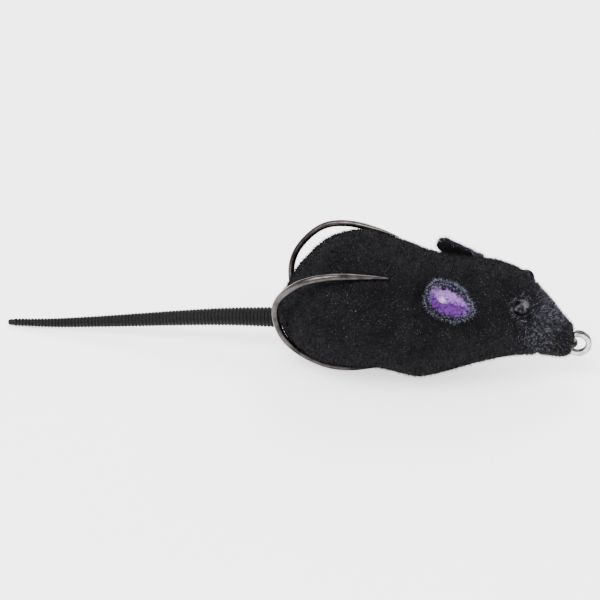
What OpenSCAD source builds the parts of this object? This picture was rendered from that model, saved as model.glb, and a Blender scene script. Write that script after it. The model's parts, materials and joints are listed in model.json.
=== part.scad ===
// Hollow-body topwater mouse lure: a soft two-part body, a folded-up double hook,
// a line ring at the nose, two cupped ears, bead eyes and a long ribbed tail.
// Millimetres. +X runs to the nose, +Z is up, and the lure lies on z = 0.

/* [Body] */
// Length of the body from rump to snout
body_l = 65; // [50:1:80]
// Widest part of the body
body_w = 33; // [27:1:40]
// Height of the back above the belly
body_h = 29.4; // [26:0.2:36]
// Wall of the soft body
wall = 1.2; // [0.8:0.1:1.6]
// Wall of the belly, which also carries the lip that the back slides over
belly_wall = 4; // [3.6:0.1:4.6]
// How square the body's section is, where 2 is an ellipse
section_power = 2.15; // [2:0.05:2.6]
// Where the snout begins, in percent of the body's length from the rump
snout_start = 77.7; // [72:0.1:80]
// Height of the fold line between belly and back
fold_z = 15.8; // [14:0.1:18]
// Angle that the back folds down when it is squeezed
squeeze_deg = 5; // [2:0.5:6]

/* [Hook] */
// Diameter of the hook wire
wire_d = 1.5; // [1.1:0.1:1.7]
// Distance from each shank to the middle plane
shank_y = 1.6; // [1.5:0.1:2]
// Height of the shanks in the snout
shank_z = 8.8; // [8:0.1:10]
// How far the eye's front bar stands out of the snout
eye_reach = 1.1; // [0.9:0.1:2]
// Length over which each point tapers
point_l = 8; // [5:0.5:10]
// Length of the keel weight that is cast on the shanks
weight_l = 10; // [6:0.5:12]
// Diameter of the keel weight
weight_d = 5.5; // [5:0.1:6]

/* [Line ring] */
// Outer diameter of the split ring
ring_d = 6; // [5.6:0.1:7]
// Inner diameter of the split ring
ring_bore = 3.5; // [3.4:0.1:4]
// Width of both coils together
ring_w = 1.3; // [0.8:0.1:1.4]
// Angle that the ring swings up or down
ring_swing = 30; // [10:5:40]

/* [Tail] */
// Diameter at the root
tail_d = 4.6; // [3.6:0.1:5]
// Diameter at the tip
tip_d = 1.5; // [1:0.1:2]
// Height of the tail's middle line at the root
tail_z = 8.5; // [8:0.05:10]
// Length of each of the tail's joined lengths
tail_seg_l = 10.6; // [8:0.2:13]
// Distance between two ribs
rib_pitch = 0.7; // [0.6:0.05:1]
// Length of the smooth round tip
tip_l = 1.6; // [1:0.1:2.4]
// Depth of the groove between two ribs
rib_depth = 0.22; // [0.1:0.02:0.3]

/* [Ears and eyes] */
// Length of an ear
ear_l = 10.5; // [9:0.5:14]
// Width of an ear
ear_w = 7.5; // [6:0.5:9]
// Thickness of an ear
ear_t = 0.9; // [0.6:0.1:1.2]
// Radius of the sphere that an ear is cupped to
ear_cup_r = 11; // [9:0.5:14]
// Angle that an ear flexes outwards or inwards
ear_flex = 12; // [4:1:15]
// Diameter of an eye bead
eye_d = 3.8; // [3:0.1:4.4]

/* [Hidden] */
$fn = 48;
// Cut that overshoots a face, so that no skin is left on it.
over = 1;
// Clearances: a sliding fold, a piece laid in a channel, a piece that swings.
fold_gap = 0.4;
lay_gap = 0.12;
swing_gap = 0.25;
ring_play = 0.2;
ear_gap = 0.3;
joint_gap = 0.15;

wire_r = wire_d / 2;
rump_x = 0;
snout_x = rump_x + body_l;
split_x = rump_x + snout_start / 100 * body_l;

// Body outline from rump to snout: each row holds the station, the half width, the belly
// and the back, in hundredths of the body's length, half width, height and height.
OUTLINE = [
    [0, 8, 34, 42], [2, 27, 25, 51], [7, 56, 13, 72], [16, 86, 5, 93], [27, 100, 4, 100],
    [36, 98, 6, 97], [44, 94, 3, 92], [51, 87, 0, 88], [62, 76, 8, 87], [73, 64, 17, 88],
    [82, 52, 21, 81], [90, 36, 21, 65], [96, 24, 20, 50], [99, 18, 22, 44], [100, 6, 28, 38]];
STEPS = 2;
SECTION_POINTS = 28;

// Catmull-Rom value between b and c, where f runs from 0 to 1.
function blend(a, b, c, d, f) =
    b + (c - a) * f / 2
    + (2 * a - 5 * b + 4 * c - d) * f * f / 2
    + (3 * b - a - 3 * c + d) * f * f * f / 2;

// Point number u of a smooth curve through a list of points, where u needn't be whole.
function curve(points, u) =
    let (
        last = len(points) - 1,
        i = min(floor(u), last - 1)
    )
    blend(points[max(i - 1, 0)], points[i], points[i + 1], points[min(i + 2, last)], u - i);

// Section of the body at outline place u, drawn in by depth: [x, half width, belly, back].
function station(u, depth) =
    let (
        row = curve(OUTLINE, u) / 100,
        x = rump_x + row[0] * body_l,
        reach = max(0, 1 - (x - rump_x) / (split_x - rump_x))
    )
    [x + depth * reach, max(row[1] * body_w / 2 - depth, 0.2),
        row[2] * body_h + depth, max(row[3] * body_h - depth, row[2] * body_h + depth + 0.4)];

function power(value, exponent) = sign(value) * pow(abs(value), exponent);

// Closed outline of one section, as [y, z] points that never go below the floor.
function section(s, depth) =
    let (mid = (s[2] + s[3]) / 2, half = (s[3] - s[2]) / 2, e = 2 / section_power)
    [for (i = [0 : SECTION_POINTS - 1])
        let (a = 360 * i / SECTION_POINTS)
        [s[1] * power(cos(a), e), max(mid + half * power(sin(a), e), depth)]];

// The whole body as a solid, drawn in by depth on every side.
module body_solid(depth = 0) {
    last = (len(OUTLINE) - 1) * STEPS;
    points = [for (i = [0 : last])
        let (s = station(i / STEPS, depth))
        for (p = section(s, depth)) [s[0], p[0], p[1]]];
    skin(points, last, SECTION_POINTS);
}

// Closed solid through rings of points, each ring with the same number of sides.
module skin(points, last, sides) {
    polyhedron(points, concat(
        [[for (k = [0 : sides - 1]) k]],
        [for (i = [0 : last - 1], k = [0 : sides - 1])
            let (a = i * sides + k, b = i * sides + (k + 1) % sides)
            [a, a + sides, b + sides, b]],
        [[for (k = [sides - 1 : -1 : 0]) last * sides + k]]));
}

// Turns the children about the fold, which lies across the body at the snout's face.
module squeezed(angle) {
    translate([split_x, 0, fold_z])
        rotate([0, -angle, 0])
            translate([-split_x, 0, -fold_z])
                children();
}

// Everything above (side = 1) or below (side = -1) a height, behind the snout's face.
module half_space(z, side) {
    reach = body_l;
    translate([split_x - reach, -body_w, side > 0 ? z : z - reach])
        cube([reach, 2 * body_w, reach]);
}

// Place on the body, in hundredths of its length, half width and height.
function on_body(x, y, z) =
    [rump_x + x / 100 * body_l, y / 100 * body_w / 2, z / 100 * body_h];

// Places of the hook's wire from the eye to the point, for y > 0.
bar_x = snout_x + eye_reach - wire_r;
bend_x = bar_x - shank_y;
WIRE = [
    [bend_x, shank_y, shank_z],
    [split_x + 0.5, shank_y, shank_z],
    [split_x - 3, shank_y, shank_z],
    [split_x - 10, shank_y + 0.2, 5.6],
    [split_x - 18, 2.2, 2.3],
    [split_x - 23, 2.6, wire_r + 0.25],
    [split_x - 27, 3.1, wire_r + 0.03],
    [on_body(28, 0, 0)[0], 5.5, wire_r + 0.05],
    [on_body(20.8, 0, 0)[0], 6.7, wire_r + 0.6],
    on_body(14.3, 45, 9.9),
    on_body(7.8, 49, 19.7),
    on_body(3.5, 54, 32.7),
    on_body(1.7, 60, 50.7),
    on_body(3.1, 68, 66),
    on_body(7.7, 76.5, 79.3),
    on_body(13.4, 79.5, 87.8),
    on_body(21.2, 76, 91.5),
    on_body(31.2, 66.7, 90.8),
    on_body(39.4, 57, 88.8)];
WIRE_STEPS = 3;
BEND_STEPS = 8;
WIRE_SIDES = 10;

// One leg's middle line, from the eye to the point.
leg = [for (i = [0 : (len(WIRE) - 1) * WIRE_STEPS]) curve(WIRE, i / WIRE_STEPS)];
// The eye's bend, from the right shank round to the left.
bend = [for (i = [1 : BEND_STEPS - 1])
    let (a = -90 + 180 * i / BEND_STEPS)
    [bend_x + shank_y * cos(a), shank_y * sin(a), shank_z]];
function mirrored(points) = [for (p = points) [p[0], -p[1], p[2]]];
function reversed(points) = [for (i = [len(points) - 1 : -1 : 0]) points[i]];
hook_path = concat(reversed(mirrored(leg)), bend, leg);

function unit(v) = v / norm(v);
function run(points, i) = i <= 0 ? 0 : norm(points[i] - points[i - 1]) + run(points, i - 1);
function tangent(points, i) =
    unit(points[min(i + 1, len(points) - 1)] - points[max(i - 1, 0)]);
// Part of v that is square to the direction t, at length 1.
function square_to(v, t) = unit(v - (v * t) * t);

// Tube along a path. radii holds one radius for each point of the path.
module sweep(path, radii, sides) {
    last = len(path) - 1;
    normals = [for (i = 0, n = square_to([0, 1, 0], tangent(path, 0)); i <= last;
        i = i + 1, n = i <= last ? square_to(n, tangent(path, i)) : n) n];
    rings = [for (i = [0 : last], k = [0 : sides - 1])
        let (
            a = 360 * k / sides,
            side = cross(tangent(path, i), normals[i])
        )
        path[i] + radii[i] * (cos(a) * normals[i] + sin(a) * side)];
    skin(rings, last, sides);
}

// The hook's wire, thicker by grow all round when it is used to cut its channel.
module hook_wire(grow = 0) {
    leg_last = len(leg) - 1;
    from_point = [for (i = [0 : leg_last]) run(reversed(leg), leg_last - i)];
    leg_radii = [for (d = from_point)
        max(wire_r * min(1, 0.1 + 0.9 * sqrt(d / point_l)), 0.1) + grow];
    radii = concat(reversed(leg_radii), [for (p = bend) wire_r + grow], leg_radii);
    sweep(hook_path, radii, WIRE_SIDES);
}

// Flat channel through the snout for both shanks and the eye's bend.
module shank_channel() {
    r = wire_r + lay_gap;
    for (side = [-1, 1])
        translate([split_x - over, side * shank_y, shank_z])
            rotate([0, 90, 0])
                cylinder(r = r, h = body_l);
    translate([split_x - over, -shank_y, shank_z - r])
        cube([body_l, 2 * shank_y, 2 * r]);
}

// Place of the line ring: its rear band lies inside the eye's bend.
bar_sag = shank_y - sqrt(pow(shank_y, 2) - pow(ring_w / 2, 2));
ring_x = bar_x + ring_bore / 2 - wire_r - bar_sag - ring_play;

// Turns the children about the eye's front bar.
module ring_swung(angle) {
    translate([bar_x, 0, shank_z])
        rotate([0, angle, 0])
            translate([-bar_x, 0, -shank_z])
                children();
}

// Room in the snout's tip for the ring over its whole swing.
module ring_room() {
    for (a = [-1 : 0.5 : 1])
        ring_swung(a * ring_swing)
            translate([ring_x, 0, shank_z])
                rotate([90, 0, 0])
                    cylinder(r = ring_d / 2 + swing_gap, h = ring_w + 2 * swing_gap, center = true);
}

// Keel weight, cast on both shanks where they slope down to the belly.
weight_x = split_x - 9;
weight_at = [weight_x, 0, 6.3];
weight_pitch = 22;
module weight_shape(grow = 0) {
    r = weight_d / 2 + grow;
    half = (weight_l - weight_d) / 2;
    translate(weight_at)
        rotate([0, 90 - weight_pitch, 0])
            rotate_extrude()
                intersection() {
                    union() {
                        translate([0, half])
                            circle(r);
                        translate([0, -half])
                            circle(r);
                        translate([-r, -half])
                            square([2 * r, 2 * half]);
                    }
                    translate([0, -weight_l])
                        square([weight_d, 2 * weight_l]);
                }
}

// Slot in the belly, where the wires leave the body.
slot_from = on_body(31, 0, 0)[0];
slot_to = split_x - 15;
slot_w = 7.2;
module belly_slot() {
    translate([slot_from, -slot_w / 2, -over])
        cube([slot_to - slot_from, slot_w, belly_wall + 2 * over]);
}

// Tail root: a plug through the rump's wall, with a flange inside.
plug_r = tail_d / 2 - rib_depth;
plug_l = 6.5;
flange_r = plug_r + 1;
flange_t = 1;
tail_count = 6;
// The tail falls evenly enough for its tip to rest on the floor. Each length's share of the
// mean fall is larger in the middle.
fall_shares = [0.7, 1.06, 1.22, 1.2, 1.06, 0.76];
mean_fall = asin((tail_z - ball_r(tail_count) - lay_gap / 2) / (tail_count * tail_seg_l));
// Fall of length i of the tail, in degrees.
function droop(i) = mean_fall * fall_shares[i];
// Where length i starts. Each start is also the place of that length's joint.
function tail_at(i) = i == 0
    ? [rump_x - 0.6, 0, tail_z]
    : tail_at(i - 1) + tail_seg_l * [-cos(droop(i - 1)), 0, -sin(droop(i - 1))];
function tail_r(i) = (tail_d + (tip_d - tail_d) * i / tail_count) / 2;

// Puts the children's +Z along length i of the tail, with their origin at its start.
module along_tail(i) {
    translate(tail_at(i))
        rotate([0, -90 - droop(i), 0])
            children();
}

// Ball at the front of length i, and the cup that the piece before it has for that ball.
function ball_r(i) = tail_r(i) - rib_depth;
function cup_r(i) = ball_r(i) + joint_gap;
// Distance from a joint to the cup's rim.
function rim(i) = sqrt(pow(cup_r(i), 2) - pow(ball_r(i), 2));

// Half outline of a ribbed length that starts at radius r0 and goes on at slope for count ribs.
function ribs(r0, slope, count) =
    [for (k = [0 : count - 1], step = [0 : 3])
        let (z = (k + step / 4) * rib_pitch)
        [r0 + slope * z - (step == 0 || step == 3 ? rib_depth : 0), z]];

// Length i of the tail: a ball at its front, ribs, and a cup or a round tip at its end.
module tail_length(i) {
    last = i == tail_count - 1;
    slope = (tail_r(i + 1) - tail_r(i)) / tail_seg_l;
    end_r = ball_r(i + 1);
    end_z = tail_seg_l - (last ? tip_l : rim(i + 1));
    count = floor(end_z / rib_pitch);
    along_tail(i)
        difference() {
            union() {
                sphere(ball_r(i));
                rotate_extrude()
                    polygon(concat(
                        [[0, 0]],
                        ribs(tail_r(i), slope, count),
                        [[end_r, count * rib_pitch], [end_r, last ? tail_seg_l - end_r : end_z],
                            [0, last ? tail_seg_l - end_r : end_z]]));
                if (last)
                    translate([0, 0, tail_seg_l - end_r])
                        sphere(end_r);
            }
            if (!last)
                translate([0, 0, tail_seg_l])
                    sphere(cup_r(i + 1));
        }
}

module tail_plug() {
    color("black")
        difference() {
            translate([tail_at(0)[0], 0, tail_z])
                rotate([0, 90, 0]) {
                    cylinder(r = plug_r, h = plug_l);
                    translate([0, 0, plug_l])
                        cylinder(r = flange_r, h = flange_t);
                }
            translate(tail_at(0))
                sphere(cup_r(0));
        }
}

module plug_hole() {
    translate([rump_x - over, 0, tail_z])
        rotate([0, 90, 0])
            cylinder(r = plug_r + lay_gap, h = plug_l + over);
    translate([tail_at(0)[0] + plug_l - lay_gap, 0, tail_z])
        rotate([0, 90, 0])
            cylinder(r = flange_r + lay_gap, h = flange_t + 2 * lay_gap);
    translate(tail_at(0))
        sphere(tail_r(0) + swing_gap);
}

// Ear, for y < 0: its middle, and the turn from its own plane. There +X runs to its front
// base, +Y to its upper rim, and the cup is hollow towards +Z.
ear_at = on_body(59.3, -68, 76.5);
ear_turn = [44, 22, -8];
// How far the cup's lowest point lies behind the ear's plane.
ear_sag = 1;
// The ear flexes about a line across its front base.
ear_hinge = [0.47 * ear_l, 0, 0];

module at_ear() {
    translate(ear_at)
        rotate(ear_turn)
            children();
}

// The inverse of at_ear, which brings the body into the ear's own plane.
module from_ear() {
    rotate([-ear_turn[0], 0, 0])
        rotate([0, -ear_turn[1], 0])
            rotate([0, 0, -ear_turn[2]])
                translate(-ear_at)
                    children();
}

// Turns the children about the ear's hinge line, tip away from the body when positive.
module ear_flexed(angle) {
    translate(ear_hinge)
        rotate([0, angle, 0])
            translate(-ear_hinge)
                children();
}

// Drop-shaped outline, rounder at the tip, which lies at -X.
function drop(points) = [for (i = [0 : points - 1])
    let (a = 360 * i / points)
    [ear_l / 2 * cos(a), ear_w / 2 * sin(a) * (1 - 0.22 * cos(a))]];

module ear() {
    at_ear()
        difference() {
            intersection() {
                translate([0, 0, ear_cup_r - ear_sag])
                    difference() {
                        sphere(ear_cup_r, $fn = 96);
                        sphere(ear_cup_r - ear_t, $fn = 96);
                    }
                translate([0, 0, -ear_sag - over])
                    linear_extrude(ear_cup_r)
                        polygon(drop(40));
            }
            from_ear()
                body_solid(-ear_gap);
            ear_flexed(ear_flex)
                from_ear()
                    body_solid(-ear_gap);
        }
}

// Eye bead: middle on the face's side, for y < 0.
eye_at = on_body(82.6, -40.6, 68.5);

// How far the belly's lip, which the back slides over, reaches below the fold line.
lip_h = 1.3 * (split_x - rump_x) * sin(squeeze_deg);

module belly_shell() {
    color([0.13, 0.13, 0.14])
        difference() {
            union() {
                intersection() {
                    body_solid();
                    half_space(fold_z, -1);
                    squeezed(squeeze_deg + 0.3)
                        half_space(fold_z, -1);
                }
                intersection() {
                    squeezed(squeeze_deg)
                        body_solid(wall + fold_gap);
                    half_space(fold_z + wall, -1);
                    half_space(fold_z - lip_h, 1);
                }
            }
            body_solid(belly_wall);
            hook_wire(lay_gap);
            weight_shape(lay_gap);
            belly_slot();
            plug_hole();
        }
}

module back_shell() {
    color([0.15, 0.15, 0.16])
        intersection() {
            difference() {
                body_solid();
                body_solid(wall);
                hook_wire(lay_gap);
            }
            half_space(fold_z, 1);
        }
}

module snout() {
    color([0.14, 0.14, 0.15])
        difference() {
            body_solid();
            half_space(body_l / 2, -1);
            half_space(body_l / 4, 1);
            shank_channel();
            ring_room();
            for (side = [-1, 1])
                translate([eye_at[0], -side * eye_at[1], eye_at[2]])
                    sphere(eye_d / 2 + lay_gap / 2);
        }
}

module double_hook() {
    color([0.3, 0.28, 0.28])
        hook_wire();
}

module belly_weight() {
    color([0.5, 0.5, 0.52])
        weight_shape();
}

module split_ring() {
    coil_w = ring_w / 2;
    color("silver")
        translate([ring_x, 0, shank_z])
            rotate([90, 0, 0])
                for (side = [-1, 1])
                    translate([0, 0, side * coil_w / 2])
                        rotate_extrude($fn = 96)
                            polygon([
                                [ring_bore / 2, -coil_w / 2],
                                [ring_d / 2 - 0.2, -coil_w / 2],
                                [ring_d / 2, -coil_w / 2 + 0.15],
                                [ring_d / 2, coil_w / 2 - 0.15],
                                [ring_d / 2 - 0.2, coil_w / 2],
                                [ring_bore / 2, coil_w / 2]]);
}

module ear_right() {
    color([0.55, 0.4, 0.75])
        ear();
}

module ear_left() {
    color([0.55, 0.4, 0.75])
        mirror([0, 1, 0])
            ear();
}

module eye_right() {
    color("black")
        translate(eye_at)
            sphere(eye_d / 2);
}

module eye_left() {
    color("black")
        mirror([0, 1, 0])
            translate(eye_at)
                sphere(eye_d / 2);
}

// Half of the distance between the tail's tip and the ring's front is the origin.
tip_end = tail_at(tail_count)[0] - ball_r(tail_count) * (1 - cos(droop(tail_count - 1)));
middle_x = (ring_x + ring_d / 2 + tip_end) / 2;
module placed() {
    translate([-middle_x, 0, 0])
        children();
}

placed() belly_shell();
placed() back_shell();
placed() snout();
placed() double_hook();
placed() belly_weight();
placed() split_ring();
placed() ear_right();
placed() ear_left();
placed() eye_right();
placed() eye_left();
placed() tail_plug();
for (i = [0 : tail_count - 1])
    placed()
            color([0.12, 0.12, 0.12])
                tail_length(i);
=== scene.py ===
"""Hollow-body mouse lure: flocked skin, folded double hook, ribbed tail, cupped ears and line ring."""

import json
import logging
import math
from dataclasses import dataclass, field, replace
from enum import Enum
from typing import Any, Callable, Sequence

import bmesh
import bpy
import numpy as np
from mathutils import Matrix, Vector, noise


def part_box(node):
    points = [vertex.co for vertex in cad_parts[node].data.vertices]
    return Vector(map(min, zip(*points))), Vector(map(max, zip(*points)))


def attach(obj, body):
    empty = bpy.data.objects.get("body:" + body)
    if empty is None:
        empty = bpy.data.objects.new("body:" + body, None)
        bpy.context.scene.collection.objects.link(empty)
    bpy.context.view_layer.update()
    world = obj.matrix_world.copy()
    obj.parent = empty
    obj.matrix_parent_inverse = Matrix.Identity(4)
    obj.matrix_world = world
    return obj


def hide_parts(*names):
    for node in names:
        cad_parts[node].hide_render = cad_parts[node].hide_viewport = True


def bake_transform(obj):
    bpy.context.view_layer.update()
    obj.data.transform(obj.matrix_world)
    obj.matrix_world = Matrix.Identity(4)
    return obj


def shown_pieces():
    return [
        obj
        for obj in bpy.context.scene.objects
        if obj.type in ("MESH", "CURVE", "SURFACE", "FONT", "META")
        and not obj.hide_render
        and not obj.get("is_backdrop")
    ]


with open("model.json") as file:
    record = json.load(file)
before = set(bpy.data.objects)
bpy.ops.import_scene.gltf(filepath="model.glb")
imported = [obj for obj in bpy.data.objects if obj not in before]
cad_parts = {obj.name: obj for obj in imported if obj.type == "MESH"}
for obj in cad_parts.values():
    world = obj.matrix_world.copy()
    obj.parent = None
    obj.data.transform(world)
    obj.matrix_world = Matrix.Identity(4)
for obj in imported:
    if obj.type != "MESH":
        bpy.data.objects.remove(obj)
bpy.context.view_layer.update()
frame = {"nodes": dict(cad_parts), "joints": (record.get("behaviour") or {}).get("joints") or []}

MM = 0.001
FULL_TURN = 2 * math.pi
LOG = logging.getLogger("lure")

Colour = tuple[float, float, float]
Point = tuple[float, float, float]
Span = tuple[float, float]


# ---------------------------------------------------------------- shader maths


class Sock:
    """A shader socket, or a number, that takes part in Python expressions."""

    def __init__(self, paint: "Paint", source: Any) -> None:
        """Keep the material that the maths nodes go into, and the socket or number."""
        self.paint = paint
        self.source = source

    def _math(self, operation: str, *others: Any, flip: bool = False) -> "Sock":
        """Add one Math node.

        Args:
            operation: The node's operation.
            others: The other operands, sockets or numbers.
            flip: Whether this socket is the second operand.

        Returns:
            The node's result.
        """
        values = [self, *others]
        if flip:
            values.reverse()
        inputs = {i: v for i, v in enumerate(values)}
        return self.paint.node("ShaderNodeMath", {"operation": operation}, inputs)[0]

    def __add__(self, other: Any) -> "Sock":
        """Sum."""
        return self._math("ADD", other)

    def __radd__(self, other: Any) -> "Sock":
        """Sum with a number on the left."""
        return self._math("ADD", other, flip=True)

    def __sub__(self, other: Any) -> "Sock":
        """Difference."""
        return self._math("SUBTRACT", other)

    def __rsub__(self, other: Any) -> "Sock":
        """Difference from a number on the left."""
        return self._math("SUBTRACT", other, flip=True)

    def __mul__(self, other: Any) -> "Sock":
        """Product."""
        return self._math("MULTIPLY", other)

    def __rmul__(self, other: Any) -> "Sock":
        """Product with a number on the left."""
        return self._math("MULTIPLY", other, flip=True)

    def __truediv__(self, other: Any) -> "Sock":
        """Quotient."""
        return self._math("DIVIDE", other)

    def __rtruediv__(self, other: Any) -> "Sock":
        """Quotient of a number on the left."""
        return self._math("DIVIDE", other, flip=True)

    def __pow__(self, other: Any) -> "Sock":
        """Power."""
        return self._math("POWER", other)

    def step(self, low: float, high: float) -> "Sock":
        """Rise smoothly from 0 at low to 1 at high.

        Args:
            low: Value at which the rise starts.
            high: Value at which it ends.

        Returns:
            The risen value.
        """
        made = self.paint.node(
            "ShaderNodeMapRange",
            {"interpolation_type": "SMOOTHSTEP"},
            {"Value": self, "From Min": low, "From Max": high, "To Min": 0.0, "To Max": 1.0},
        )
        return made[0]


class Paint:
    """One material with a Principled shader, built node by node."""

    def __init__(self, name: str) -> None:
        """Start a material with its shader and output only.

        Args:
            name: The material's name.
        """
        self.material = bpy.data.materials.new(name)
        self.material.use_nodes = True
        self.tree = self.material.node_tree
        self.tree.nodes.clear()
        self.shader = self.tree.nodes.new("ShaderNodeBsdfPrincipled")
        out = self.tree.nodes.new("ShaderNodeOutputMaterial")
        self.tree.links.new(self.shader.outputs[0], out.inputs[0])

    def node(self, kind: str, settings: dict[str, Any], inputs: dict[Any, Any]) -> list[Sock]:
        """Add one node.

        Args:
            kind: The node's type name.
            settings: Attributes, which are set before anything is linked.
            inputs: Values or links, by socket name or number.

        Returns:
            The node's enabled outputs.
        """
        made = self.tree.nodes.new(kind)
        for key, value in settings.items():
            setattr(made, key, value)
        for key, value in inputs.items():
            self._feed(self._socket(made, key), value)
        return [Sock(self, o) for o in made.outputs if o.enabled]

    @staticmethod
    def _socket(made: Any, key: Any) -> Any:
        """Find an enabled input by name, or any input by number.

        Args:
            made: The node.
            key: Name or number of the input.

        Returns:
            The input socket.
        """
        if isinstance(key, int):
            return made.inputs[key]
        return next(s for s in made.inputs if s.name == key and s.enabled)

    def _feed(self, socket: Any, value: Any) -> None:
        """Link a socket to a result, or set its value.

        Args:
            socket: The input socket.
            value: A result to link, or a plain value.
        """
        if isinstance(value, Sock):
            value = value.source
        if isinstance(value, bpy.types.NodeSocket):
            self.tree.links.new(value, socket)
        elif isinstance(value, (tuple, list)) and len(value) == 3 and socket.type == "RGBA":
            socket.default_value = (*value, 1.0)
        else:
            socket.default_value = value

    def place(self) -> Sock:
        """Position on the piece, in metres."""
        return self.node("ShaderNodeTexCoord", {}, {})[3]

    def attribute(self, name: str) -> Sock:
        """Value that the mesh stores at each point under a name."""
        return self.node("ShaderNodeAttribute", {"attribute_name": name}, {})[2]

    def grain(self, size: float, detail: float = 2.0) -> Sock:
        """Noise from 0 to 1 whose lumps are about size metres across.

        Args:
            size: Width of a lump, in metres.
            detail: How much fine noise rides on the lumps.

        Returns:
            The noise.
        """
        return self.node(
            "ShaderNodeTexNoise", {}, {"Vector": self.place(), "Scale": 1 / size, "Detail": detail}
        )[0]

    def mix(self, factor: Any, low: Any, high: Any) -> Sock:
        """Blend of two colours.

        Args:
            factor: Share of the second colour.
            low: First colour.
            high: Second colour.

        Returns:
            The blended colour.
        """
        return self.node(
            "ShaderNodeMix", {"data_type": "RGBA"}, {"Factor": factor, "A": low, "B": high}
        )[0]

    def bump(self, height: Sock, depth: float, strength: float = 1.0) -> Sock:
        """Normal that a height from 0 to 1 over depth metres gives.

        Args:
            height: Height from 0 to 1.
            depth: What a height of 1 stands for, in metres.
            strength: Share of the bump that shows.

        Returns:
            The bent normal.
        """
        return self.node(
            "ShaderNodeBump", {}, {"Height": height, "Distance": depth, "Strength": strength}
        )[0]

    def set(self, **sockets: Any) -> None:
        """Set or link the shader's sockets, named with _ for a space."""
        for key, value in sockets.items():
            self._feed(self.shader.inputs[key.replace("_", " ")], value)


# ---------------------------------------------------------------- finishes


@dataclass(frozen=True)
class Flock:
    """Short dense fibre coat: near black, with paler specks as painted highlights where fibre ends catch
    light, and broad lighter patches of wear and painted sheen.
    """

    name: str = "black_flock"
    deep: Colour = (0.0022, 0.0022, 0.0026)
    mid: Colour = (0.0085, 0.0082, 0.0095)
    speck: Colour = (0.085, 0.078, 0.094)
    fibre: float = 0.26 * MM
    patch: float = 5.0 * MM
    speck_from: float = 0.60
    speck_to: float = 0.74
    speck_least: float = 0.35
    speck_wear_and_sheen: float = 0.9
    shade_step: Span = (0.35, 0.7)
    shade_least: float = 0.3
    rough: Span = (0.86, 0.1)
    sheen: Span = (0.02, 0.45)
    specular: float = 0.06
    relief: float = 0.16 * MM
    relief_strength: float = 0.75

    def make(self) -> Any:
        """Build the material.

        Returns:
            The new material.
        """
        p = Paint(self.name)
        fine = p.grain(self.fibre, 3.0)
        finer = p.grain(self.fibre / 2, 1.0)
        # Broad noise patches stand for wear and painted sheen: they lighten the ground and strengthen the
        # specks.
        wear_and_sheen = p.grain(self.patch, 2.0)
        # Paler specks: painted highlights where fibre ends catch light.
        salt = fine.step(self.speck_from, self.speck_to) * (self.speck_least + wear_and_sheen * self.speck_wear_and_sheen)
        light = finer.step(*self.shade_step) * (self.shade_least + wear_and_sheen.step(*self.shade_step))
        ground = p.mix(light, self.deep, self.mid)
        p.set(
            Base_Color=p.mix(salt, ground, self.speck),
            Roughness=self.rough[0] + self.rough[1] * wear_and_sheen,
            Sheen_Weight=self.sheen[0],
            Sheen_Roughness=self.sheen[1],
            Specular_IOR_Level=self.specular,
            Normal=p.bump(fine + finer, self.relief, self.relief_strength),
        )
        return p.material


@dataclass(frozen=True)
class Fibre:
    """Coat of loose fibre ends, in one shade."""

    name: str
    root: Colour
    tip: Colour
    lump: float = 1.4 * MM
    shade_step: Span = (0.35, 0.65)
    rough: float = 0.85
    specular: float = 0.06

    def make(self) -> Any:
        """Build the material.

        Returns:
            The new material.
        """
        p = Paint(self.name)
        p.set(
            Base_Color=p.mix(p.grain(self.lump).step(*self.shade_step), self.root, self.tip),
            Roughness=self.rough,
            Specular_IOR_Level=self.specular,
        )
        return p.material


@dataclass(frozen=True)
class PlatedWire:
    """Plated steel wire, with faint drawing marks along it."""

    name: str
    light: Colour
    dark: Colour
    roughness: float
    mark: float = 0.5 * MM
    shade_step: Span = (0.3, 0.7)
    scratch_rough: float = 0.12
    scratch_depth: float = 0.01 * MM
    scratch_strength: float = 0.5

    def make(self) -> Any:
        """Build the material.

        Returns:
            The new material.
        """
        p = Paint(self.name)
        cloud = p.grain(self.mark * 5, 3.0)
        scratch = p.grain(self.mark / 3, 2.0)
        p.set(
            Base_Color=p.mix(cloud.step(*self.shade_step), self.dark, self.light),
            Metallic=1.0,
            Roughness=self.roughness + self.scratch_rough * scratch,
            Normal=p.bump(scratch, self.scratch_depth, self.scratch_strength),
        )
        return p.material


HOOK_PLATE = PlatedWire("black_nickel", (0.072, 0.063, 0.062), (0.022, 0.019, 0.019), 0.22)
WEIGHT_CAST = PlatedWire("cast_weight", (0.32, 0.32, 0.33), (0.16, 0.16, 0.17), 0.55)


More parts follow.
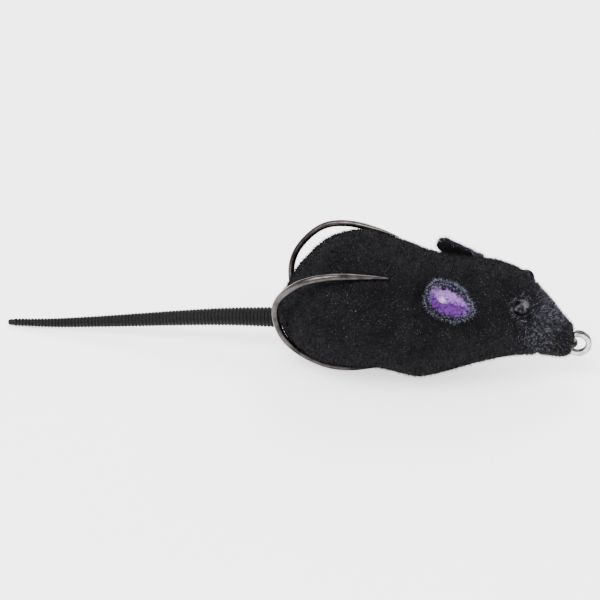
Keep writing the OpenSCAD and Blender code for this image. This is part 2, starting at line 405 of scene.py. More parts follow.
@dataclass(frozen=True)
class RingPlate:
    """Bright plate on a ring, with painted shade darkening the inner and outer edges of its band where the
    turns meet, and dark tarnish in random stains.
    """

    middle: Point
    radius: float
    half_band: float
    name: str = "bright_nickel"
    light: Colour = (0.43, 0.42, 0.41)
    # Colour of the painted edge shade and of the tarnish stains.
    dark: Colour = (0.03, 0.028, 0.028)
    cloud_size: float = 1.1 * MM
    cloud_sway: float = 0.6
    edge_step: Span = (0.45, 0.95)
    stain_step: Span = (0.52, 0.66)
    stain_share: float = 0.55
    scratch_size: float = 0.17 * MM
    rough: Span = (0.12, 0.15)
    scratch_depth: float = 0.01 * MM
    scratch_strength: float = 0.4

    def make(self) -> Any:
        """Build the material.

        Returns:
            The new material.
        """
        p = Paint(self.name)
        flat = p.node(
            "ShaderNodeMapping",
            {},
            {
                "Vector": p.place(),
                "Location": (-self.middle[0], 0.0, -self.middle[2]),
                "Scale": (1.0, 0.0, 1.0),
            },
        )[0]
        reach = p.node("ShaderNodeVectorMath", {"operation": "LENGTH"}, {0: flat})[0]
        across = p.node("ShaderNodeMath", {"operation": "ABSOLUTE"}, {0: reach - self.radius})[0]
        cloud = p.grain(self.cloud_size, 3.0)
        # Painted shade: the band darkens towards its inner and outer edges, where the two turns meet.
        edge_shade = (across / self.half_band + (cloud - 0.5) * self.cloud_sway).step(*self.edge_step)
        stain = cloud.step(*self.stain_step) * self.stain_share
        scratch = p.grain(self.scratch_size)
        p.set(
            Base_Color=p.mix(stain, p.mix(edge_shade, self.light, self.dark), self.dark),
            Metallic=1.0,
            Roughness=self.rough[0] + self.rough[1] * scratch,
            Normal=p.bump(scratch, self.scratch_depth, self.scratch_strength),
        )
        return p.material


@dataclass(frozen=True)
class SoftPlastic:
    """Satin soft plastic with a faint mould grain."""

    name: str = "satin_soft_plastic"
    dark: Colour = (0.002, 0.002, 0.0024)
    light: Colour = (0.0065, 0.0065, 0.0075)
    grain: float = 0.5 * MM
    haze: float = 12.0
    shade_step: Span = (0.3, 0.75)
    rough: Span = (0.5, 0.2)
    specular: float = 0.12
    relief: float = 0.04 * MM
    relief_strength: float = 0.6

    def make(self) -> Any:
        """Build the material.

        Returns:
            The new material.
        """
        p = Paint(self.name)
        lumps = p.grain(self.grain, 3.0)
        haze = p.grain(self.grain * self.haze, 2.0)
        p.set(
            Base_Color=p.mix(lumps.step(*self.shade_step), self.dark, self.light),
            Roughness=self.rough[0] + self.rough[1] * haze,
            Specular_IOR_Level=self.specular,
            Normal=p.bump(lumps, self.relief, self.relief_strength),
        )
        return p.material


@dataclass(frozen=True)
class EarLining:
    """Purple leaf inside an ear: lilac upper band, pale spot, violet below, and black towards the rim as
    painted shade in the cup.
    """

    name: str = "ear_lining"
    # Black of the painted shade in the cup round the purple leaf.
    black: Colour = (0.0018, 0.0018, 0.003)
    deep: Colour = (0.028, 0.006, 0.060)
    violet: Colour = (0.085, 0.024, 0.150)
    lilac: Colour = (0.235, 0.115, 0.340)
    pale: Colour = (0.46, 0.35, 0.55)
    leaf_half: tuple[float, float] = (1.02, 0.76)
    leaf_rise: float = -0.06
    spot_at: tuple[float, float] = (-0.30, -0.04)
    spot_half: tuple[float, float] = (0.22, 0.18)
    cloth_size: float = 0.6 * MM
    thread_size: float = 0.2 * MM
    ragged_by: float = 1.5
    thread_by: float = 0.8
    edge_step: Span = (-0.05, 0.5)
    band_slope: Span = (1.6, 0.35)
    band_ragged: float = 0.6
    band_step: Span = (-0.05, 0.45)
    band_share: Span = (0.85, 0.15)
    front_ragged: float = 0.4
    front_step: Span = (0.62, 0.9)
    shade_step: Span = (0.3, 0.62)
    spot_step: Span = (-0.1, 0.9)
    spot_share: float = 0.65
    thread_step: Span = (0.45, 0.7)
    thread_share: float = 0.65
    rough: Span = (0.75, 0.2)
    specular: float = 0.05
    relief: float = 0.12 * MM
    relief_strength: float = 0.8

    def make(self) -> Any:
        """Build the material.

        Returns:
            The new material.
        """
        p = Paint(self.name)
        along, up = p.attribute("ear_along"), p.attribute("ear_up")
        cloth = p.grain(self.cloth_size, 3.0)
        thread = p.grain(self.thread_size, 2.0)
        ragged = (cloth - 0.5) * self.ragged_by
        leaf = 1 - (along / self.leaf_half[0]) ** 2 - ((up - self.leaf_rise) / self.leaf_half[1]) ** 2
        # Outside the leaf the lining turns black: painted shade in the cup under the ear's dark fringe.
        inside = (leaf + ragged + (thread - 0.5) * self.thread_by).step(*self.edge_step)
        slope = up * self.band_slope[0] - along * self.band_slope[1]
        band = (slope + ragged * self.band_ragged).step(*self.band_step)
        front = (along + ragged * self.front_ragged).step(*self.front_step)
        side, rise = along - self.spot_at[0], up - self.spot_at[1]
        spot = 1 - (side / self.spot_half[0]) ** 2 - (rise / self.spot_half[1]) ** 2
        shade = p.mix(cloth.step(*self.shade_step), self.deep, self.violet)
        shade = p.mix(band * self.band_share[0] + front * self.band_share[1], shade, self.lilac)
        shade = p.mix((spot + ragged).step(*self.spot_step) * self.spot_share, shade, self.pale)
        shade = p.mix(thread.step(*self.thread_step) * self.thread_share, shade, self.deep)
        p.set(
            Base_Color=p.mix(inside, self.black, shade),
            Roughness=self.rough[0] + self.rough[1] * cloth,
            Sheen_Weight=0.0,
            Specular_IOR_Level=self.specular,
            Normal=p.bump(thread + cloth, self.relief, self.relief_strength),
        )
        return p.material


@dataclass(frozen=True)
class Bead:
    """Glossy black bead, grey in places with scuffs and a painted reflection; its own reflection is kept
    faint.
    """

    name: str = "black_bead"
    dark: Colour = (0.0022, 0.0022, 0.003)
    # Grey of the scuffs and of the painted reflection.
    scuff_and_reflection: Colour = (0.085, 0.082, 0.088)
    swirl_size: float = 1.5 * MM
    speckle_size: float = 0.2 * MM
    speckle_share: float = 0.3
    wear_and_sheen_step: Span = (0.6, 0.9)
    rough: Span = (0.45, 0.35)
    specular: float = 0.008
    relief: float = 0.06 * MM
    relief_strength: float = 0.6

    def make(self) -> Any:
        """Build the material.

        Returns:
            The new material.
        """
        p = Paint(self.name)
        swirl = p.grain(self.swirl_size, 5.0)
        # Grey marks: scuffs, and a painted reflection standing in for the bead's gloss.
        wear_and_sheen = (swirl + self.speckle_share * p.grain(self.speckle_size)).step(*self.wear_and_sheen_step)
        p.set(
            Base_Color=p.mix(wear_and_sheen, self.dark, self.scuff_and_reflection),
            Roughness=self.rough[0] + self.rough[1] * wear_and_sheen,
            Specular_IOR_Level=self.specular,
            Normal=p.bump(swirl, self.relief, self.relief_strength),
        )
        return p.material


@dataclass(frozen=True)
class Studio:
    """Pale matt surface that the lure lies on."""

    name: str = "pale_floor"
    light: Colour = (0.93, 0.93, 0.93)
    dark: Colour = (0.90, 0.90, 0.90)
    glow: float = 1.3
    cloud: float = 40 * MM
    rough: float = 0.9

    def make(self) -> Any:
        """Build the material.

        Returns:
            The new material.
        """
        p = Paint(self.name)
        p.set(
            Base_Color=p.mix(p.grain(self.cloud), self.dark, self.light),
            Roughness=self.rough,
            Emission_Color=(1.0, 1.0, 1.0),
            Emission_Strength=self.glow,
        )
        return p.material


# ---------------------------------------------------------------- mesh helpers


def smooth_blend(points: np.ndarray, u: float) -> np.ndarray:
    """Catmull-Rom point through a list of points.

    Args:
        points: One point in each row.
        u: Place along the rows, which needn't be whole.

    Returns:
        The point at u.
    """
    last = len(points) - 1
    i = min(int(u), last - 1)
    f = u - i
    a, b, c, d = (points[min(max(i + k, 0), last)] for k in (-1, 0, 1, 2))
    return (
        b
        + (c - a) * f / 2
        + (2 * a - 5 * b + 4 * c - d) * f**2 / 2
        + (3 * b - a - 3 * c + d) * f**3 / 2
    )


def dense(points: Sequence[Sequence[float]], steps: int) -> np.ndarray:
    """Smooth path through points, with steps places on each stretch.

    Args:
        points: The few places that the path goes through.
        steps: Places made on each stretch between two of them.

    Returns:
        Places along the path, one row each.
    """
    rows = np.array(points, float)
    count = (len(rows) - 1) * steps
    return np.array([smooth_blend(rows, i / steps) for i in range(count + 1)])


def new_piece(name: str, verts: Any, faces: Any, finish: Any = None) -> Any:
    """Make a smooth-shaded mesh object.

    Args:
        name: The piece's name.
        verts: Its points, in metres.
        faces: Its faces, as lists of point numbers.
        finish: Its material, or None.

    Returns:
        The new object, linked to the scene.
    """
    mesh = bpy.data.meshes.new(name)
    mesh.from_pydata([tuple(map(float, v)) for v in verts], [], faces)
    mesh.validate()
    mesh.shade_smooth()
    if finish is not None:
        mesh.materials.append(finish)
    piece = bpy.data.objects.new(name, mesh)
    bpy.context.scene.collection.objects.link(piece)
    return piece


def outward(piece: Any) -> None:
    """Merge doubled points and turn every face outwards.

    Args:
        piece: The mesh object to mend.
    """
    bm = bmesh.new()
    bm.from_mesh(piece.data)
    bmesh.ops.remove_doubles(bm, verts=bm.verts, dist=1e-7)
    bmesh.ops.recalc_face_normals(bm, faces=bm.faces)
    bm.to_mesh(piece.data)
    bm.free()


def applied(piece: Any) -> Any:
    """Turn a piece with modifiers into a plain mesh of the same name.

    Args:
        piece: The object whose modifiers are still live.

    Returns:
        The same object, now a plain mesh.
    """
    graph = bpy.context.evaluated_depsgraph_get()
    mesh = bpy.data.meshes.new_from_object(piece.evaluated_get(graph))
    old = piece.data
    piece.modifiers.clear()
    piece.data = mesh
    bpy.data.meshes.remove(old)
    mesh.name = piece.name
    return piece


def ring_faces(rings: int, sides: int, closed: bool = False) -> list[list[int]]:
    """Faces that join rings of points, with a cap at each end unless the rings close on themselves.

    Args:
        rings: How many rings follow each other.
        sides: How many points each ring has.
        closed: Whether the last ring joins the first.

    Returns:
        Point numbers of each face.
    """
    faces = []
    for i in range(rings if closed else rings - 1):
        a, b = i * sides, (i + 1) % rings * sides
        for k in range(sides):
            n = (k + 1) % sides
            faces.append([a + k, a + n, b + n, b + k])
    if not closed:
        faces.append(list(range(sides))[::-1])
        faces.append([(rings - 1) * sides + k for k in range(sides)])
    return faces


def tangents(path: np.ndarray) -> np.ndarray:
    """Unit direction at each point of a path."""
    t = np.gradient(path, axis=0)
    return t / np.linalg.norm(t, axis=1)[:, None]


def frames(path: np.ndarray, first: Sequence[float]) -> tuple[np.ndarray, np.ndarray]:
    """Two directions square to a path at each point, which turn as little as possible.

    Args:
        path: The path's points.
        first: Roughly the first of the two directions at the start.

    Returns:
        Both directions, one row for each point.
    """
    t = tangents(path)
    normal = np.array(first, float)
    normals = []
    for d in t:
        normal = normal - d * normal.dot(d)
        normal = normal / np.linalg.norm(normal)
        normals.append(normal)
    n = np.array(normals)
    return n, np.cross(t, n)


def swept(
    name: str,
    path: np.ndarray,
    section: Callable[[int], np.ndarray],
    first: Sequence[float],
    finish: Any,
) -> Any:
    """Sweep a section along a path.

    Args:
        name: The piece's name.
        path: The path's points, in metres.
        section: Gives the section's points at a place on the path, as rows of two numbers.
        first: Direction of the section's first axis at the start.
        finish: The piece's material.

    Returns:
        The closed piece.
    """
    n, b = frames(path, first)
    verts = []
    for i, p in enumerate(path):
        flat = section(i)
        verts.extend(p + flat[:, :1] * n[i] + flat[:, 1:] * b[i])
    piece = new_piece(name, verts, ring_faces(len(path), len(section(0))), finish)
    outward(piece)
    return piece


def round_section(sides: int) -> np.ndarray:
    """Unit circle as rows of two numbers."""
    a = np.arange(sides) * FULL_TURN / sides
    return np.stack([np.cos(a), np.sin(a)], axis=1)


# ---------------------------------------------------------------- geometry nodes


class NodeTree:
    """A Geometry Nodes tree that starts from the object's own geometry."""

    def __init__(self, name: str, inputs: dict[str, tuple[str, Any]]) -> None:
        """Start a tree.

        Args:
            name: The tree's name.
            inputs: Socket type and first value, by input name.
        """
        self.tree = bpy.data.node_groups.new(name, "GeometryNodeTree")
        face = self.tree.interface
        face.new_socket("Geometry", in_out="INPUT", socket_type="NodeSocketGeometry")
        face.new_socket("Geometry", in_out="OUTPUT", socket_type="NodeSocketGeometry")
        for key, (kind, value) in inputs.items():
            made = face.new_socket(key, in_out="INPUT", socket_type=kind)
            if value is not None:
                made.default_value = value
        self.start = self.tree.nodes.new("NodeGroupInput")
        self.end = self.tree.nodes.new("NodeGroupOutput")

    def given(self, name: str) -> Any:
        """Socket of one of the tree's named inputs."""
        return self.start.outputs[name]

    def add(self, kind: str, settings: dict[str, Any], inputs: dict[Any, Any]) -> Any:
        """Add one node.

        Args:
            kind: The node's type name.
            settings: Attributes, which are set first.
            inputs: Values or links, by socket name or number.

        Returns:
            The node.
        """
        made = self.tree.nodes.new(kind)
        for key, value in settings.items():
            setattr(made, key, value)
        for key, value in inputs.items():
            names = [s for s in made.inputs if s.name == key and s.enabled]
            socket = made.inputs[key] if isinstance(key, int) else names[0]
            if isinstance(value, bpy.types.NodeSocket):
                self.tree.links.new(value, socket)
            else:
                socket.default_value = value
        return made

    def finish(self, geometry: Any, material: Any) -> None:
        """Realise the instances, set the material and end the tree.

        Args:
            geometry: The tree's last geometry.
            material: Material that the result wears.
        """
        real = self.add("GeometryNodeRealizeInstances", {}, {0: geometry})
        done = self.add("GeometryNodeSetMaterial", {}, {"Geometry": real.outputs[0]})
        done.inputs["Material"].default_value = material
        self.tree.links.new(done.outputs[0], self.end.inputs[0])

    def apply(self, piece: Any, values: dict[str, Any]) -> Any:
        """Run the tree on a piece and keep the result as its plain mesh.

        Args:
            piece: The object to run on.
            values: Values of the tree's inputs, by name.

        Returns:
            The piece.
        """
        modifier = piece.modifiers.new(self.tree.name, "NODES")
        modifier.node_group = self.tree
        ids = {s.name: s.identifier for s in self.tree.interface.items_tree if s.in_out == "INPUT"}
        for key, value in values.items():
            modifier[ids[key]] = value
        return applied(piece)


# ---------------------------------------------------------------- the body


class Side(Enum):
    """Side of the body, by the sign of its Y."""

    RIGHT = -1
    LEFT = 1


@dataclass
class HookRig:
    """Double hook: two shanks from one eye bend, each leg folded up round the rump."""

    wire: float = 1.5 * MM
    shank_y: float = 1.6 * MM
    shank_z: float = 8.8 * MM
    eye_reach: float = 1.1 * MM
    point_length: float = 9.0 * MM
    point_width: float = 0.05
    legs: tuple[Point, ...] = (
        (51.0, 1.6, 8.8),
        (47.5, 1.6, 8.8),
        (40.5, 1.8, 5.6),
        (32.5, 2.2, 2.3),
        (27.5, 2.6, 1.0),
        (23.5, 3.1, 0.78),
        (18.2, 5.5, 0.8),
        (13.5, 6.7, 1.35),
        (9.3, 7.4, 2.9),
        (5.1, 8.1, 5.8),
        (2.3, 8.9, 9.6),
        (1.1, 9.9, 14.9),
        (2.0, 11.2, 19.4),
        (5.0, 12.6, 23.3),
        (8.7, 13.1, 25.8),
        (13.8, 12.5, 26.9),
        (20.3, 11.0, 26.7),
        (25.6, 9.4, 26.1),
    )
    leg_steps: int = 10
    bend_steps: int = 24
    sides: int = 20

    def leg(self, body: "Body") -> np.ndarray:
        """Middle line of the left leg, from the eye's bend to the point, in metres.

        Args:
            body: The body that the leg folds round.

        Returns:
            Places along the leg, one row each.
        """
        bend_x = body.length / MM + (self.eye_reach - self.wire / 2 - self.shank_y) / MM
        rows = [(bend_x, self.shank_y / MM, self.shank_z / MM), *self.legs]
        path = dense(rows, self.leg_steps) * MM
        path[:, 0] += body.rump_x
        return path

    def path(self, body: "Body") -> np.ndarray:
        """Middle line of the whole wire, from the right point round the eye to the left point.

        Args:
            body: The body that the legs fold round.

        Returns:
            Places along the wire, one row each.
        """
        leg = self.leg(body)
        turn = np.linspace(-math.pi / 2, math.pi / 2, self.bend_steps + 1)[1:-1]
        bend = np.stack(
            [
                leg[0, 0] + self.shank_y * np.cos(turn),
                self.shank_y * np.sin(turn),
                np.full(len(turn), self.shank_z),
            ],
            axis=1,
        )
        return np.concatenate([leg[::-1] * (1, -1, 1), bend, leg])

    def build(self, body: "Body", finish: Any) -> Any:
        """Make the wire, with a needle point at each end.

        Args:
            body: The body, which the places are measured from.
            finish: The wire's material.

        Returns:
            The finished piece.
        """
        path = self.path(body)
        run = np.concatenate([[0], np.cumsum(np.linalg.norm(np.diff(path, axis=0), axis=1))])
        from_end = np.minimum(run, run[-1] - run)
        share = np.clip(from_end / self.point_length, 0, 1)
        radii = self.wire / 2 * np.clip(share**0.6, self.point_width, 1)
        circle = round_section(self.sides)
        piece = swept("hook_wire", path, lambda i: circle * radii[i], (0, 1, 0), finish)
        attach(piece, "root")
        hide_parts("double_hook")
        return piece


@dataclass
class Body:
    """Hollow soft body, as one skin over the belly, back and snout."""

    outline: tuple[tuple[float, float, float, float], ...] = (
        (0, 8, 34, 42),
        (2, 27, 25, 51),
        (7, 56, 13, 72),
        (16, 86, 5, 93),
        (27, 100, 4, 100),
        (36, 98, 6, 97),
        (44, 94, 3, 92),
        (51, 87, 0, 88),
        (62, 76, 8, 87),
        (73, 64, 17, 88),
        (82, 52, 21, 81),
        (90, 36, 21, 65),
        (96, 24, 20, 50),
        (99, 18, 22, 44),
        (100, 6, 28, 38),
    )
    power: float = 2.15
    steps: int = 12
    around: int = 120
    width: float = 33 * MM
    height: float = 29.4 * MM
    channel: float = 0.95 * MM
    eye_middle: tuple[float, float, float] = (53.7 * MM, 6.7 * MM, 20.15 * MM)
    eye_radius: float = 1.9 * MM
    fold_low: float = 10.5 * MM
    fold_high: float = 16.5 * MM
    floor_gap: float = 0.05 * MM
    wire_stride: int = 3
    press_margin: float = 0.15 * MM
    press_slope: float = 1.5
    waver_size: float = 7 * MM
    waver_depth: float = 0.18 * MM
    socket_depth: float = 0.55 * MM
    socket_reach: float = 1.35
    crease_at: float = 0.885
    crease_lean: float = 0.12
    crease_height: float = 8 * MM
    crease_half: float = 0.7 * MM
    crease_depth: float = 0.45 * MM
    crease_top: float = 12 * MM
    crease_fade: float = 1.2 * MM
    slot_reach: Span = (20 * MM, 35.5 * MM)
    slot_half: float = 3.6 * MM
    slot_height: Span = (-2 * MM, 4.4 * MM)
    ring_room: Span = (0.25 * MM, 0.4 * MM)
    bare_below: float = 0.2 * MM
    bare_round_eye: float = 1.05
    cheek_at: Span = (0.90, 15.0)
    cheek_half: Span = (0.055, 5.0)
    lid_at: float = 1.35
    lid_half: float = 0.22
    lid_share: float = 0.8
    rump_x: float = field(init=False)
    length: float = field(init=False)

    def __post_init__(self) -> None:
        """Take the body's ends from the frame."""
        self.rump_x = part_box("belly_shell")[0][0]
        self.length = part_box("snout")[1][0] - self.rump_x

    def station(self, u: float) -> tuple[float, float, float, float]:
        """Place, half width, belly and back at outline place u, in metres.

        Args:
            u: Place along the outline's rows, which needn't be whole.

        Returns:
            Place along the body, half width, and heights of belly and back.
        """
        t, w, low, high = smooth_blend(np.array(self.outline, float), u) / 100
        half = max(w * self.width / 2, 0.1 * MM)
        return self.rump_x + t * self.length, half, low * self.height, high * self.height

    def section(self, u: float) -> np.ndarray:
        """Closed outline of the body at outline place u.

        Args:
            u: Place along the outline's rows, which needn't be whole.

        Returns:
            Points round the section, one row each.
        """
        x, half, low, high = self.station(u)
        a = np.arange(self.around) * FULL_TURN / self.around
        e = 2 / self.power
        y = half * np.sign(np.cos(a)) * np.abs(np.cos(a)) ** e
        z = (low + high) / 2 + (high - low) / 2 * np.sign(np.sin(a)) * np.abs(np.sin(a)) ** e
        return np.stack([np.full(self.around, x), y, np.maximum(z, self.floor_gap)], axis=1)

    def build(self, hook: HookRig, finish: Any) -> Any:
        """Make the skin, with channels for the wires, eye sockets and both slots.

        Args:
            hook: The hook, whose legs press into the skin.
            finish: The skin's material.

        Returns:
            The finished piece.
        """
        count = (len(self.outline) - 1) * self.steps + 1
        rings = [self.section(i / self.steps) for i in range(count)]
        piece = new_piece("flocked_skin", np.concatenate(rings), ring_faces(count, self.around), finish)
        outward(piece)
        self._press(piece, hook)
        self._slots(piece, hook)
        outward(piece)
        self._mark(piece)
        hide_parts("belly_shell", "back_shell", "snout")
        return piece

    def follow(self, piece: Any) -> None:
        """Bake a piece's place into its mesh."""
        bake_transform(piece)

    def _press(self, piece: Any, hook: HookRig) -> None:
        """Press the wires' channels, the eye sockets and the face's folds into the skin.

        Args:
            piece: The skin.
            hook: The hook whose wires lie in it.
        """
        mesh = piece.data
        wires = hook.path(self)[:: self.wire_stride]
        normals = [v.normal.copy() for v in mesh.vertices]
        for v, n in zip(mesh.vertices, normals):
            p = np.array(v.co)
            near = float(np.min(np.linalg.norm(wires - p, axis=1)))
            inward = max(0.0, self.channel + self.press_margin - near) * self.press_slope
            inward += self._face_fold(p)
            soft = noise.noise(v.co * (1 / self.waver_size)) * self.waver_depth
            v.co = v.co - n * inward + n * soft
            v.co.z = max(v.co.z, self.floor_gap)

    def _face_fold(self, p: np.ndarray) -> float:
        """Depth of the eye sockets and of the fold behind the snout's tip at a point.

        Args:
            p: The point, in metres.

        Returns:
            Depth at that point, in metres.
        """
        x, y, z = self.eye_middle
        apart = np.linalg.norm(p - (self.rump_x + x, math.copysign(y, p[1]), z))
        socket = self.socket_depth * math.exp(-((apart / (self.socket_reach * self.eye_radius)) ** 4))
        ahead = p[0] - (self.rump_x + self.crease_at * self.length)
        along = (ahead + self.crease_lean * (p[2] - self.crease_height)) / self.crease_half
        lower = 1 / (1 + math.exp((p[2] - self.crease_top) / self.crease_fade))
        return socket + self.crease_depth * math.exp(-(along**2)) * lower

    def _slots(self, piece: Any, hook: HookRig) -> None:
        """Cut the belly's slot for the shanks and the slit in the snout's tip for the ring.

        Args:
            piece: The skin.
            hook: The hook whose shanks give the height of the slit.
        """
        bm = bmesh.new()
        x0, x1 = (self.rump_x + reach for reach in self.slot_reach)
        self._pill(bm, x0, x1, self.slot_half, *self.slot_height)
        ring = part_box("split_ring")
        middle = Vector((box_middle(ring)[0], 0, hook.shank_z))
        turn = Matrix.Translation(middle) @ Matrix.Rotation(math.pi / 2, 4, "X")
        radius = (ring[1][2] - ring[0][2]) / 2 + self.ring_room[0]
        depth = ring[1][1] - ring[0][1] + self.ring_room[1]
        bmesh.ops.create_cone(
            bm, cap_ends=True, segments=48, radius1=radius, radius2=radius, depth=depth, matrix=turn
        )
        mesh = bpy.data.meshes.new("slot_cutter")
        bm.to_mesh(mesh)
        bm.free()
        cutter = bpy.data.objects.new("slot_cutter", mesh)
        bpy.context.scene.collection.objects.link(cutter)
        cut = piece.modifiers.new("slots", "BOOLEAN")
        cut.operation = "DIFFERENCE"
        cut.solver = "EXACT"
        cut.object = cutter
        applied(piece)
        bpy.data.objects.remove(cutter)

    @staticmethod
    def _pill(bm: Any, x0: float, x1: float, half: float, z0: float, z1: float) -> None:
        """Add an upright block with round ends to a mesh.

        Args:
            bm: The mesh that it is added to.
            x0: Its rear end.
            x1: Its front end.
            half: Half its width.
            z0: Its foot.
            z1: Its top.
        """
        side = 16
        rim = []
        for k in range(2 * side + 2):
            end = k > side
            a = math.pi / 2 + (k - end) * math.pi / side
            middle = x1 - half if end else x0 + half
            rim.append((middle + half * math.cos(a), half * math.sin(a)))
        low = [bm.verts.new((x, y, z0)) for x, y in rim]
        high = [bm.verts.new((x, y, z1)) for x, y in rim]
        bm.faces.new(low[::-1])
        bm.faces.new(high)
        for k in range(len(rim)):
            n = (k + 1) % len(rim)
            bm.faces.new((low[k], low[n], high[n], high[k]))

    def _mark(self, piece: Any) -> None:
        """Store how densely the fibres stand: none at the eyes or on the floor, most on the face.

        Args:
            piece: The skin.
        """
        mesh = piece.data
        coat = mesh.attributes.new("coat", "FLOAT", "POINT")
        face = mesh.attributes.new("face", "FLOAT", "POINT")
        x, y, z = self.eye_middle
        coats, faces = [], []
        for v in mesh.vertices:
            p = np.array(v.co)
            apart = np.linalg.norm(p - (self.rump_x + x, math.copysign(y, p[1]), z))
            clear = 1.0 if apart > self.bare_round_eye * self.eye_radius else 0.0
            coats.append(clear if p[2] > self.bare_below else 0.0)
            ahead = (p[0] - self.rump_x) / self.length
            forward = (ahead - self.cheek_at[0]) / self.cheek_half[0]
            upward = (p[2] / MM - self.cheek_at[1]) / self.cheek_half[1]
            cheek = math.exp(-(forward**2)) * math.exp(-(upward**2))
            lid = math.exp(-(((apart / self.eye_radius - self.lid_at) / self.lid_half) ** 2))
            faces.append((cheek + self.lid_share * lid) * clear)
        coat.data.foreach_set("value", coats)
        face.data.foreach_set("value", faces)


def box_middle(box: Any) -> tuple[float, float, float]:
    """Middle of a node's box."""
    low, high = box
    return tuple((a + b) / 2 for a, b in zip(low, high))


class FibreShade(Enum):
    """Loose fibre: material name, colour at the root, colour at the tip and size of its clumps."""

    BLACK = ("fibre_black", (0.0022, 0.0022, 0.0026), (0.011, 0.0105, 0.0125), 1.4 * MM)
    GREY = ("fibre_grey", (0.012, 0.0115, 0.014), (0.055, 0.05, 0.062), 1.4 * MM)
    PALE = ("fibre_pale", (0.012, 0.013, 0.018), (0.22, 0.225, 0.28), 0.8 * MM)
    FROST = ("fibre_frost", (0.02, 0.022, 0.034), (0.30, 0.31, 0.44), 0.5 * MM)

    def make(self) -> Any:
        """Material of this shade."""
        return Fibre(*self.value).make()


@dataclass(frozen=True)
class Growth:
    """One layer of fibres: its name, fibres to the square millimetre, length and lean."""

    name: str
    per_mm2: float
    length: float
    lean: float


@dataclass
class FlockCoat:
    """Fibre ends that stand out of a skin, made by Geometry Nodes."""

    seed: int = 7
    width: float = 0.075 * MM
    shortest: float = 0.45
    spike_sides: int = 3

    def tree(self, name: str, mask: str, finish: Any) -> NodeTree:
        """Build the tree.

        Args:
            name: The tree's name.
            mask: Mesh attribute that says how densely the fibres stand.
            finish: The fibres' material.

        Returns:
            The tree, with inputs Density, Length, Lean and Seed.
        """
        t = NodeTree(
            name,
            {
                "Density": ("NodeSocketFloat", 1.0),
                "Length": ("NodeSocketFloat", 1.0),
                "Lean": ("NodeSocketFloat", 0.5),
                "Seed": ("NodeSocketInt", 0),
            },
        )
        at = t.add("GeometryNodeInputNamedAttribute", {"data_type": "FLOAT"}, {"Name": mask})
        dense_here = t.add(
            "ShaderNodeMath", {"operation": "MULTIPLY"}, {0: at.outputs[0], 1: t.given("Density")}
        )
        spread = t.add(
            "GeometryNodeDistributePointsOnFaces",
            {"distribute_method": "RANDOM"},
            {"Mesh": t.given("Geometry"), "Density": dense_here.outputs[0], "Seed": t.given("Seed")},
        )
        spike = t.add(
            "GeometryNodeMeshCone",
            {"fill_type": "TRIANGLE_FAN"},
            {
                "Vertices": self.spike_sides,
                "Radius Top": 0.0,
                "Radius Bottom": self.width / 2,
                "Depth": 1.0,
            },
        )
        upright = t.add(
            "FunctionNodeAlignEulerToVector",
            {"axis": "Z"},
            {"Vector": self._leaning(t, spread), "Factor": 1.0},
        )
        tall = t.add(
            "FunctionNodeRandomValue",
            {"data_type": "FLOAT"},
            {"Min": self.shortest, "Max": 1.0, "Seed": t.given("Seed")},
        )
        reach = t.add("ShaderNodeMath", {"operation": "MULTIPLY"}, {0: tall.outputs[1], 1: t.given("Length")})
        size = t.add("ShaderNodeCombineXYZ", {}, {"X": 1.0, "Y": 1.0, "Z": reach.outputs[0]})
        placed = t.add(
            "GeometryNodeInstanceOnPoints",
            {},
            {
                "Points": spread.outputs["Points"],
                "Instance": spike.outputs["Mesh"],
                "Rotation": upright.outputs[0],
                "Scale": size.outputs[0],
            },
        )
        t.finish(placed.outputs[0], finish)
        return t

    @staticmethod
    def _leaning(t: NodeTree, spread: Any) -> Any:
        """Direction of each fibre: the surface's normal, leaning by a random amount.

        Args:
            t: The tree that the nodes go in.
            spread: The node that sets points on the surface.

        Returns:
            The direction.
        """
        lean = t.add(
            "FunctionNodeRandomValue",
            {"data_type": "FLOAT_VECTOR"},
            {"Min": (-1.0, -1.0, -1.0), "Max": (1.0, 1.0, 1.0), "Seed": t.given("Seed")},
        )
        scaled = t.add(
            "ShaderNodeVectorMath",
            {"operation": "SCALE"},
            {0: lean.outputs[0], "Scale": t.given("Lean")},
        )
        total = t.add(
            "ShaderNodeVectorMath",
            {"operation": "ADD"},
            {0: spread.outputs["Normal"], 1: scaled.outputs[0]},
        )
        return total.outputs[0]

    def grow(self, layer: Growth, skin: Any, tree: NodeTree) -> Any:
        """Grow fibres on a copy of a skin.

        Args:
            layer: Name and sizes of the fibres.
            skin: The piece that they stand on.
            tree: The tree to run.

        Returns:
            The fibres as a plain mesh.
        """
        piece = bpy.data.objects.new(layer.name, skin.data.copy())
        bpy.context.scene.collection.objects.link(piece)
        self.seed += 1
        values = {
            "Density": layer.per_mm2 / MM**2,
            "Length": layer.length,
            "Lean": layer.lean,
            "Seed": self.seed,
        }
        tree.apply(piece, values)
        return piece


